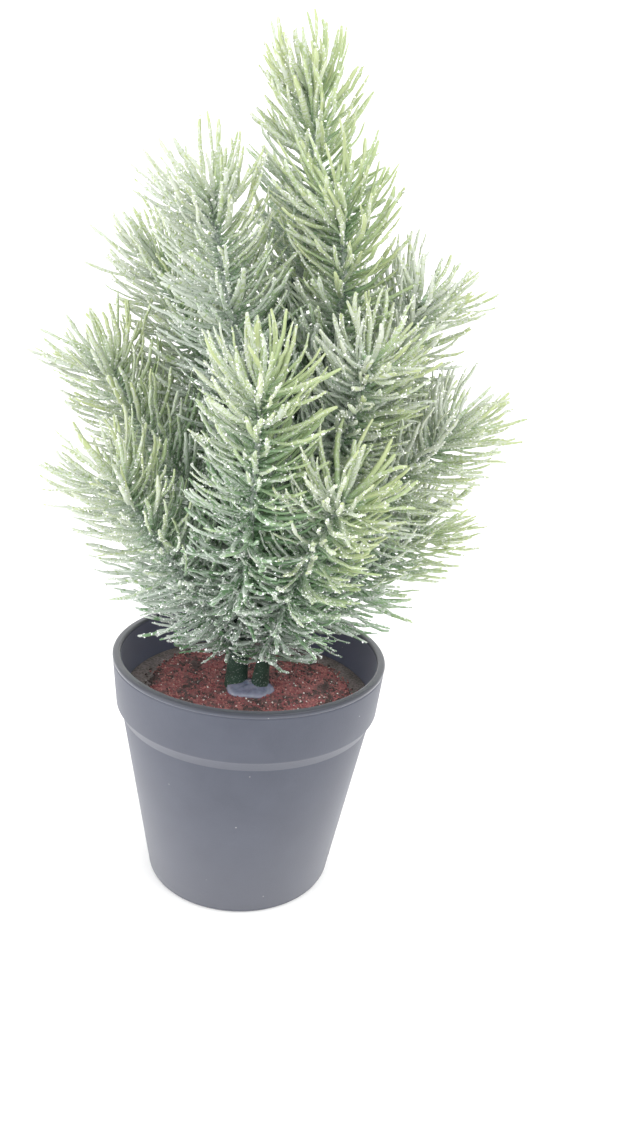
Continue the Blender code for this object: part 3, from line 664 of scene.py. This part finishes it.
# EVA hot-melt adhesive: glossy, cloudy, lets light in a little way and looks bluish on dark grit.
hot_melt, tree, shader = new_material(
    "eva_hot_melt", Roughness=0.07, IOR=1.48, Subsurface_Weight=0.3, Subsurface_Scale=1.5 * MM)
place = add_node(tree, "TexCoord").outputs["Object"]
swirl = add_node(tree, "TexNoise", {
    "Vector": place, "Scale": 1 / SWIRL, "Detail": 2.0, "Distortion": 1.2})
colour = add_node(tree, "Mix", {"Factor": swirl, "A": GLUE_DARK, "B": GLUE_PALE}, data_type="RGBA")
height = add_node(tree, "SeparateXYZ", {"Vector": place}).outputs["Z"]
# A painted highlight: the dome turns paler towards its rim
thin = add_node(tree, "MapRange", {
    "Value": height, "From Min": RIM_HIGHLIGHT_HEIGHTS[0], "From Max": RIM_HIGHLIGHT_HEIGHTS[1], "To Max": 0.5})
highlighted = add_node(tree, "Mix", {"Factor": thin, "A": colour, "B": GLUE_RIM_HIGHLIGHT}, data_type="RGBA")
ripple = add_node(tree, "TexNoise", {"Vector": place, "Scale": 1 / RIPPLE, "Detail": 1.0})
bump = add_node(tree, "Bump", {"Height": ripple, "Strength": 0.5, "Distance": 0.6 * MM})
fill(shader, {"Base Color": highlighted, "Normal": bump})
glue_faces = tube_faces(1, GLUE_RINGS, GLUE_SPOKES)
new_piece("glue_bead", glue_points, glue_faces, hot_melt, "hot_glue", "glue")


# Needles. Moulded polyethylene blades about 24 mm long and 1.5 mm wide, which stand all round each
# sprig's stem and curve towards its tip. They follow the solids' rule, more of them and slimmer:
# a golden-angle spiral, a lean that closes towards the tip, and a tuft at the end.
SEED = 42
NEEDLES_PER_MM = 3.5
TUFT_NEEDLES = 26
NEEDLE_LENGTH = 24.5 * MM
NEEDLE_HALF_WIDTH = 0.78 * MM
NEEDLE_HALF_THICKNESS = 0.5 * MM
NEEDLE_POINT = 0.3 * MM
NEEDLE_RINGS = 11
NEEDLE_SIDES = 4
GOLDEN_ANGLE = 137.508
# Shares of a sprig's length: where its needles begin and end, and how much of it the tuft takes
FIRST_SHARE = 0.06
BARE_FOOT = {"front_right_low": 0.13}
LAST_SHARE = 0.985
TUFT_SHARE = 0.1
# Degrees: a needle's lean at the foot and at the tip of its sprig, how much lean and turn vary, the
# widest lean in the tuft, and how far a needle bends
LEANS = (66.0, 50.0)
LEAN_SPREAD = 12.0
TURN_SPREAD = 28.0
TUFT_LEAN = 46.0
BENDS = (12.0, 26.0)
# What a few sprigs multiply their leans at foot and tip by, and their needles' length
UPRIGHT = {"leader": (1.12, 0.74)}
SPRIG_REACH = {"leader": 0.95, "front_right_middle": 0.92}
# How much needles sway to a side, kink along their length and crumble round their girth
SWAY = 0.13
KINK = 0.075
CRUMBLE = 0.15
# A needle with no room is shortened step by step, and left out if the last step has none either
SHORTENINGS = (1.0, 0.88, 0.76, 0.64, 0.5)
CLEARANCE = 0.25 * MM
# Between which a tint and the painted shade change: distances from the trunk, heights, and distances from
# the axis
CORE = (10 * MM, 50 * MM)
LOW = (85 * MM, 148 * MM)
HIGH = (150 * MM, 205 * MM)
FAR = (44 * MM, 62 * MM)
# Shares of a sprig's length between which its needles ripen from teal to yellow-green
RIPE = (0.2, 0.72)
# For front_middle this holds its lower half teal and darker: painted shade
RIPE_LATE_AND_SHADED = {"front_middle": (0.5, 1.0), "front_left_high": (0.35, 0.9)}
# How near the other limbs crowd a needle, and the sums of crowding between which it is held teal and darker:
# painted shade
CROWD_REACH = 12 * MM
CROWD = (0.4, 1.25)
# Frost of each sprig, from 0, none, to 1, and what its foot and its tip add to that
USUAL_FROST = 0.6
SPRIG_FROST = {
    "leader": 0.38, "front_left_high": 0.72, "front_left_low": 0.7, "front_middle": 0.44,
    "front_right_low": 0.45, "front_right_middle": 0.74, "front_right_high": 0.38,
    "right_middle": 0.72, "right_high": 0.84, "left_high": 0.62, "left_middle": 0.64,
    "back_left_low": 0.75, "back_left_middle": 0.75,
}
FOOT_FROST = 0.16
# front_middle's foot has less frost, which leaves it darker: painted shade
FOOT_FROST_IN_PAINTED_SHADE = {"front_middle": -0.06}
TIP_FROST = -0.04
# Frost added low inside the crown, on needles and points that face up and out, and on needles that
# face the way the spray drifted from
LOW_FROST = 0.3
RAISED_FROST = 0.1
FACING_FROST = 0.12
DRIFT_FROST = 0.32
DRIFT = (-0.8, -0.5, 0.3)
SPRAY_RISE = 30 * MM


def distance_to(points, path):
    """Distance of points from a path, as the least distance to its straight pieces."""
    starts, runs = path[:-1], np.diff(path, axis=0)
    offsets = points[..., None, :] - starts
    shares = np.clip((offsets * runs).sum(-1) / (runs * runs).sum(-1), 0, 1)[..., None]
    return np.linalg.norm(offsets - shares * runs, axis=-1).min(-1)


def has_room(points, name):
    """Tell which needles miss the pot, its filling and every limb but their own."""
    radii, heights = np.hypot(points[..., 0], points[..., 1]), points[..., 2]
    room = NEEDLE_HALF_THICKNESS + CLEARANCE
    over_rim = heights > POT_HEIGHT + room
    outside = radii > RIM_RADIUS + room
    inside = (radii < inner_wall(FOAM_TOP) - room) & (heights > GROUND + GLUE_HEIGHT * 0.5 + room)
    clear = (over_rim | outside | inside).all(-1)
    for other, path in limbs.items():
        if other != name:
            clear &= (distance_to(points, path[::6]) > STEM_RADII[0] + room).all(-1)
    return clear


def centre_lines(roots, forward, outward, lean, bend, sway, kinks, reach):
    """Middles of the needles' rings: the lean closes evenly from lean + bend to lean - bend.

    The sway carries each needle a little to one side, by the square of the way along it, and each
    piece between two rings has a small kink of its own.
    """
    share = (np.arange(NEEDLE_RINGS - 1) + 0.5) / (NEEDLE_RINGS - 1)
    angle = lean[:, None] + bend[:, None] * (1 - 2 * share)
    steps = np.cos(angle)[..., None] * forward[:, None] + np.sin(angle)[..., None] * outward[:, None]
    steps += (2 * sway[:, None] * share)[..., None] * np.cross(forward, outward)[:, None] + kinks
    steps *= reach[:, None, None] / (NEEDLE_RINGS - 1)
    return np.concatenate([roots[:, None], roots[:, None] + np.cumsum(steps, axis=1)], axis=1)


def grow_needles(name, path, rng):
    """Middles of one limb's needles, the way each faces outwards, and its place on the sprig.

    The needles stand at even steps along the stem, each a golden angle further round it. Their
    lean falls evenly from foot to tip, and their length rises as a sine to past the middle.
    """
    length = lengths_along(path)[-1]
    first = BARE_FOOT.get(name, FIRST_SHARE)
    on_stem = int((1 - first) * length / MM * NEEDLES_PER_MM)
    number = np.arange(on_stem + TUFT_NEEDLES)
    in_tuft = number >= on_stem
    place = first + (LAST_SHARE - first) * (number + 0.5) / on_stem
    place += rng.uniform(-0.006, 0.006, len(number))
    place = np.where(in_tuft, 1 - TUFT_SHARE * rng.uniform(0.02, 1, len(number)), place)
    roots, forward = at_shares(path, place)
    side = unit(np.cross(forward, GUIDE))
    turn = number * GOLDEN_ANGLE + rng.uniform(-TURN_SPREAD, TURN_SPREAD, len(number))
    turn = np.radians(turn)[:, None]
    outward = side * np.cos(turn) + np.cross(side, forward) * np.sin(turn)
    lean = LEANS[0] + (LEANS[1] - LEANS[0]) * place
    lean = lean + rng.uniform(-LEAN_SPREAD, LEAN_SPREAD, len(number))
    lean = np.where(in_tuft, TUFT_LEAN * np.sqrt(rng.uniform(0.02, 1.3, len(number))), lean)
    lean = np.radians(lean * np.interp(place, (0.35, 0.95), UPRIGHT.get(name, (1, 1))))
    bend = np.radians(rng.uniform(*BENDS, len(number)))
    sway = rng.normal(0, SWAY, len(number))
    kinks = rng.normal(0, KINK, (len(number), NEEDLE_RINGS - 1, 3))
    reach = NEEDLE_LENGTH * (0.62 + 0.42 * np.sin(math.pi * np.minimum(place, 0.68)))
    reach *= rng.uniform(0.8, 1.08, len(number)) * SPRIG_REACH.get(name, 1.0)
    middles = np.zeros((len(number), NEEDLE_RINGS, 3))
    found = np.zeros(len(number), bool)
    for shortening in SHORTENINGS:
        trial = centre_lines(roots, forward, outward, lean, bend, sway, kinks, reach * shortening)
        fits = has_room(trial[:, 3:], name) & ~found
        middles[fits] = trial[fits]
        found |= fits
    return middles[found], outward[found], place[found]


def needle_bodies(middles, outward, rng):
    """Points of flat four-sided blades, crumbled by frost, and their offsets from the middles."""
    count = len(middles)
    share = np.linspace(0, 1, NEEDLE_RINGS)
    runs = unit(np.gradient(middles, axis=1))
    across = unit(np.cross(runs, outward[:, None]))
    roll = rng.uniform(-0.6, 0.6, count)[:, None, None]
    across = unit(across * np.cos(roll) + np.cross(runs, across) * np.sin(roll))
    upright = np.cross(runs, across)
    girth = np.interp(share, (0, 0.1, 0.35, 0.8, 0.95, 1), (0.7, 0.9, 1.0, 0.95, 0.82, 0.55))
    girth = girth * rng.uniform(0.64, 1.24, (count, 1))
    turns = np.linspace(0, math.tau, NEEDLE_SIDES, endpoint=False) + rng.uniform(0, 6, (count, 1, 1))
    crumbled = girth[..., None] * (1 + CRUMBLE * rng.normal(size=(count, NEEDLE_RINGS, NEEDLE_SIDES)))
    offsets = (
        across[:, :, None] * (np.cos(turns) * crumbled * NEEDLE_HALF_WIDTH)[..., None]
        + upright[:, :, None] * (np.sin(turns) * crumbled * NEEDLE_HALF_THICKNESS)[..., None]
    )
    rings = middles[:, :, None] + offsets
    poles = np.stack([middles[:, 0], middles[:, -1] + runs[:, -1] * NEEDLE_POINT], 1)
    return np.concatenate([rings.reshape(count, -1, 3), poles], 1), offsets


def openness(middles):
    """How open the crown is round the needles' rings: from 0 at the trunk to 1 outside or on top."""
    sideways = np.interp(distance_to(middles, trunk_line), CORE, (0, 1))
    return np.maximum(sideways, np.interp(middles[..., 2], HIGH, (0, 0.9)))


def frost_coat(name, middles, outward, place, offsets, rng):
    """Frost on the needles' points, as a sum that is kept between 0 and 1.

    A needle has its sprig's frost, less of it inside the crown, with what the sprig's foot or tip
    adds, what lying low inside the crown adds, what facing up and out adds, what facing the drift
    adds, and chance. A point adds its own facing and chance, and the root of a needle has less.
    """
    depth = openness(middles)[..., None]
    low = np.interp(middles[..., 2], LOW, (1, 0))[..., None]
    spray = unit(middles * (1, 1, 0) + UP * SPRAY_RISE)
    own = SPRIG_FROST.get(name, USUAL_FROST) * (0.65 + 0.35 * depth)
    own = own + LOW_FROST * (low * (1 - depth)) + rng.normal(0, 0.12, (len(middles), 1, 1))
    own = own + RAISED_FROST * (outward[:, None] * spray).sum(-1, keepdims=True)
    own = own + DRIFT_FROST * (outward @ np.array(DRIFT))[:, None, None]
    ends = (FOOT_FROST_IN_PAINTED_SHADE.get(name, FOOT_FROST), TIP_FROST)
    own = own + np.interp(place, RIPE_LATE_AND_SHADED.get(name, RIPE), ends)[:, None, None]
    facing = (unit(offsets) * spray[:, :, None]).sum(-1)
    coat = own + FACING_FROST * facing + 0.07 * rng.normal(size=facing.shape)
    coat *= np.interp(np.linspace(0, 1, NEEDLE_RINGS), (0, 0.3), (0.7, 1))[:, None]
    coat = np.concatenate([coat.reshape(len(middles), -1), own[:, 0], own[:, -1]], 1)
    return np.clip(coat, 0.01, 0.99)


def ripeness_and_shade(name, middles, place, rng):
    """Ripeness and painted shade of the needles' points, from 0, teal and dark, to 1, yellow-green.

    It grows as a power of the way along the needle, by a rate of the needle's own. It is then
    multiplied by the least share that the crown's depth or the place on the sprig leaves, by what
    the height over the pot leaves, unless far out, and by what crowding leaves, unless high up.
    The cuts by depth, height and crowding are painted shade, held teal and darker.
    """
    count = len(middles)
    depth = openness(middles)
    share = np.linspace(0, 1, NEEDLE_RINGS)
    ripe_and_shade = 0.06 + share**0.65 * rng.uniform(0.65, 1.25, (count, 1)) + rng.normal(0, 0.06, (count, 1))
    on_sprig = np.interp(place, RIPE_LATE_AND_SHADED.get(name, RIPE), (0.2, 1))[:, None]
    # Painted shade: needles in the crown's core, low down and between crowded limbs are held teal and darker
    ripe_and_shade *= np.minimum(0.15 + 0.85 * depth, on_sprig)
    open_air = np.interp(np.hypot(middles[..., 0], middles[..., 1]), FAR, (0, 0.9))
    ripe_and_shade *= np.maximum(1 - 0.85 * np.interp(middles[..., 2], LOW, (1, 0)), open_air)
    nearby = [distance_to(middles, path[::6]) for other, path in limbs.items() if other != name]
    crowd = np.exp(-np.stack(nearby) / CROWD_REACH).sum(0)
    ripe_and_shade *= np.maximum(np.interp(crowd, CROWD, (1, 0.65)), np.interp(middles[..., 2], HIGH, (0, 0.8)))
    ripe_and_shade = np.clip(ripe_and_shade, 0, 1)
    ripe_and_shade = np.concatenate([np.repeat(ripe_and_shade, NEEDLE_SIDES, 1), ripe_and_shade[:, :1], ripe_and_shade[:, -1:]], 1)
    return 0.01 + 0.98 * ripe_and_shade


# Polyethylene blades, teal at the root and yellow-green at the tip, sprayed with frost that lies
# thickest on the upper side and on the outside of the crown. The map holds frost from left to right
# and ripeness with painted shade from bottom to top, so the finish depends on nothing else.
BLADE_COLOURS = ((0.0, "#678d66"), (0.2, "#8dac83"), (0.5, "#a8bb89"), (1.0, "#b7c390"))
FROST_COLOURS = ("#cdd5cf", "#d0d5cc")
# How many lumps the frost has across the map and up it
FROST_LUMPS = (22.0, 42.0, 0.0)
needle_plastic, tree, shader = new_material(
    "frosted_polyethylene_needle", IOR=1.51, Sheen_Weight=0.1, Sheen_Roughness=0.45)
chart = add_node(tree, "UVMap", uv_map="OFBake").outputs["UV"]
axes = add_node(tree, "SeparateXYZ", {"Vector": chart})
blade = add_node(tree, "ValToRGB", {"Fac": axes.outputs["Y"]})
for step, (share, colour) in enumerate(BLADE_COLOURS):
    stop = blade.color_ramp.elements[step] if step < 2 else blade.color_ramp.elements.new(share)
    stop.position = share
    stop.color = linear(colour)
frost = add_node(tree, "ValToRGB", {"Fac": axes.outputs["Y"]})
for stop, colour in zip(frost.color_ramp.elements, FROST_COLOURS):
    stop.color = linear(colour)
spread = add_node(tree, "VectorMath", {0: chart, 1: FROST_LUMPS}, operation="MULTIPLY")
sugar = add_node(tree, "TexNoise", {"Vector": spread, "Scale": 1.0, "Detail": 1.0})
lumps = add_node(tree, "MapRange", {
    "Value": sugar, "From Min": 0.3, "From Max": 0.7, "To Min": -0.65, "To Max": 0.65})
sprayed = add_node(tree, "Math", {0: axes.outputs["X"], 1: lumps})
cover = add_node(tree, "MapRange", {
    "Value": sprayed, "From Min": 0.5, "From Max": 0.7, "To Max": 0.85}, interpolation_type="SMOOTHSTEP")
colour = add_node(tree, "Mix", {"Factor": cover, "A": blade, "B": frost}, data_type="RGBA")
rough = add_node(tree, "MapRange", {"Value": axes.outputs["X"], "To Min": 0.42, "To Max": 0.85})
fill(shader, {"Base Color": colour, "Roughness": rough})

trunk_line = trunk_point(np.linspace(0, 1, 12))
needle_store = []
for index, (name, path) in enumerate(limbs.items()):
    rng = np.random.default_rng([SEED, index])
    middles, outward, place = grow_needles(name, path, rng)
    points, offsets = needle_bodies(middles, outward, rng)
    coat = frost_coat(name, middles, outward, place, offsets, rng)
    ripe_and_shade = ripeness_and_shade(name, middles, place, rng)
    faces = tube_faces(len(middles), NEEDLE_RINGS, NEEDLE_SIDES)
    piece = new_piece(
        "needles_" + name, points.reshape(-1, 3), faces,
        needle_plastic, "frosted_needles", "sprig_" + name)
    corners = np.concatenate([group.ravel() for group in faces])
    chart = np.stack([coat.ravel(), ripe_and_shade.ravel()], 1)[corners]
    piece.data.uv_layers.new(name="OFBake").data.foreach_set("uv", chart.astype(np.float32).ravel())
    needle_store.append((points, coat))


# Frost and glitter. Crumbs of white flocking powder and thin polyester flakes, blown on while the
# varnish was wet. Both cling to the needles, most of all where the frost is thick, and both are
# drawn about half as large again as real ones, so that they show.
CRUMB = (
    np.array([(1, 1, 1), (1, -1, -1), (-1, 1, -1), (-1, -1, 1)], float) / math.sqrt(3),
    np.array([(0, 1, 2), (0, 3, 1), (0, 2, 3), (1, 3, 2)]),
)
POWDER_TINT = 5 * MM
FLAKE_TINT = 3 * MM
LOW_BIAS = 0.6


def seats(count, rng, bias):
    """Places on the needles, picked by a power of the frost there, and more often low down.

    Each lies at a random share of the way from a point to the same side of the next ring.
    """
    every = np.concatenate([points.reshape(-1, 3) for points, coat in needle_store])
    weight = np.concatenate([coat.ravel() for points, coat in needle_store]) ** bias
    weight *= 1 + np.interp(every[:, 2], LOW, (LOW_BIAS, 0))
    rings = NEEDLE_RINGS * NEEDLE_SIDES
    weight[np.arange(len(weight)) % (rings + 2) >= rings - NEEDLE_SIDES] = 0
    chosen = rng.choice(len(every), count, p=weight / weight.sum())
    blend = rng.uniform(0, 1, (count, 1))
    return every[chosen] * (1 - blend) + every[chosen + NEEDLE_SIDES] * blend


# Nylon flocking powder: matt, almost pure white, tinted by the varnish it sits in.
powder, tree, shader = new_material("white_flocking_powder", Roughness=0.9)
place = add_node(tree, "TexCoord").outputs["Object"]
tint = add_node(tree, "TexNoise", {"Vector": place, "Scale": 1 / POWDER_TINT, "Detail": 1.0})
colour = add_node(tree, "Mix", {"Factor": tint, "A": "#ecefea", "B": "#fdfdfc"}, data_type="RGBA")
fill(shader, {"Base Color": colour})

# Iridescent polyester glitter: thin bright flakes that throw the light of the room back.
glitter, tree, shader = new_material("polyester_glitter", Roughness=0.2, Metallic=0.85)
place = add_node(tree, "TexCoord").outputs["Object"]
play = add_node(tree, "TexNoise", {"Vector": place, "Scale": 1 / FLAKE_TINT, "Detail": 0.0})
colour = add_node(tree, "Mix", {"Factor": play, "A": "#eef0f4", "B": "#fdfdfa"}, data_type="RGBA")
fill(shader, {"Base Color": colour})

# Each row: name, material, count, radius in mm, least size, power of the frost, flatness and seed
SPECK_KINDS = (
    ("frost_crumbs", powder, 36000, 0.37, 0.6, 0.6, 1.0, 54),
    ("glitter_flakes_large", glitter, 48000, 0.48, 0.55, 0.4, 0.3, 52),
    ("glitter_flakes_small", glitter, 48000, 0.38, 0.55, 0.4, 0.3, 53),
)
for name, finish, count, radius, least, bias, flatness, seed in SPECK_KINDS:
    rng = np.random.default_rng(seed)
    places = seats(count, rng, bias)
    sizes = radius * MM * rng.uniform(least, 1.3, count)
    points, faces = scattered(CRUMB, places, sizes, rng, flatness)
    new_piece(name, points, faces, finish, "frosted_needles").data.shade_flat()


# Studio. A white table that runs up into a white wall, in a bright room. A window's light falls
# from the upper right, and a wide soft light fills in from the left.
SWEEP_FRONT = -0.9
SWEEP_BACK = 0.9
SWEEP_RADIUS = 0.5
SWEEP_HEIGHT = 1.4
SWEEP_HALF_WIDTH = 1.6
# Each row: name, place, width, height and power of a lamp
LAMPS = (
    ("window", (0.55, -0.35, 0.95), 0.7, 0.6, 3.2),
    ("soft_fill", (-0.7, -0.45, 0.3), 0.7, 0.6, 3.0),
)
LAMP_TARGET = np.array([0.0, 0.0, 0.13])
ROOM_LIGHT = 1.43

turns = np.linspace(-math.pi / 2, 0, 24)
bend_y = SWEEP_BACK + SWEEP_RADIUS * np.cos(turns)
sweep_y = np.concatenate([[SWEEP_FRONT], bend_y, [SWEEP_BACK + SWEEP_RADIUS]])
sweep_z = np.concatenate([[0], SWEEP_RADIUS + SWEEP_RADIUS * np.sin(turns), [SWEEP_HEIGHT]])
edges = (-SWEEP_HALF_WIDTH, SWEEP_HALF_WIDTH)
sheet = [np.stack([0 * sweep_y + x, sweep_y, sweep_z], 1) for x in edges]
count = len(sweep_y)
step = np.arange(count - 1)
quads = np.stack([step, step + count, step + count + 1, step + 1], 1)
mesh = bpy.data.meshes.new("studio_sweep")
mesh.from_pydata(np.concatenate(sheet), [], quads.tolist())
mesh.shade_smooth()
sweep = bpy.data.objects.new("studio_sweep", mesh)
bpy.context.scene.collection.objects.link(sweep)
# Matt white acrylic, lit a little from behind as on a light table, which keeps shadows faint.
board = new_material(
    "lit_white_acrylic", Base_Color="#f4f4f3", Roughness=0.7,
    Emission_Color="#ffffff", Emission_Strength=0.1)[0]
mesh.materials.append(board)
sweep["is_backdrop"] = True


def looking(place, right, ahead):
    """Matrix of a camera or lamp at a place, from the directions to its right and ahead of it."""
    right, ahead = unit(np.array(right)), unit(np.array(ahead))
    columns = [[*right, 0], [*np.cross(right, ahead), 0], [*-ahead, 0], [*place, 1]]
    return Matrix(columns).transposed()


world = bpy.data.worlds.new("bright_room")
world.use_nodes = True
fill(world.node_tree.nodes["Background"], {"Color": "#ffffff", "Strength": ROOM_LIGHT})
bpy.context.scene.world = world

for name, place, width, height, power in LAMPS:
    lamp = bpy.data.lights.new(name, "AREA")
    lamp.shape = "RECTANGLE"
    lamp.size, lamp.size_y = width, height
    lamp.energy = power
    soft_box = bpy.data.objects.new(name, lamp)
    ahead = LAMP_TARGET - np.array(place)
    soft_box.matrix_world = looking(place, np.cross(ahead, UP), ahead)
    bpy.context.scene.collection.objects.link(soft_box)

# Camera. It was fitted to the ellipses of the pot's rim, step and foot in the photograph: a phone's
# field of view, from the front and above, rolled a little to the left.
FOCAL_PIXELS = 960
IMAGE_HEIGHT = 1140
SENSOR = 36.0
CAMERA_PLACE = np.array([22.164, -311.424, 227.978]) * MM
CAMERA_RIGHT = (0.99646, 0.02790, 0.07926)
CAMERA_AHEAD = (0.0, 0.94328, -0.33200)

camera_data = bpy.data.cameras.new("camera")
camera_data.sensor_fit = "VERTICAL"
camera_data.sensor_height = SENSOR
camera_data.lens = SENSOR * FOCAL_PIXELS / IMAGE_HEIGHT
camera = bpy.data.objects.new("camera", camera_data)
camera.matrix_world = looking(CAMERA_PLACE, CAMERA_RIGHT, CAMERA_AHEAD)
bpy.context.scene.collection.objects.link(camera)
bpy.context.scene.camera = camera
bpy.context.scene.view_settings.view_transform = "Standard"

bpy.context.view_layer.update()
sizes = {"cad": [list(corner) for corner in cad_box], "visual": [list(corner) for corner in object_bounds()]}
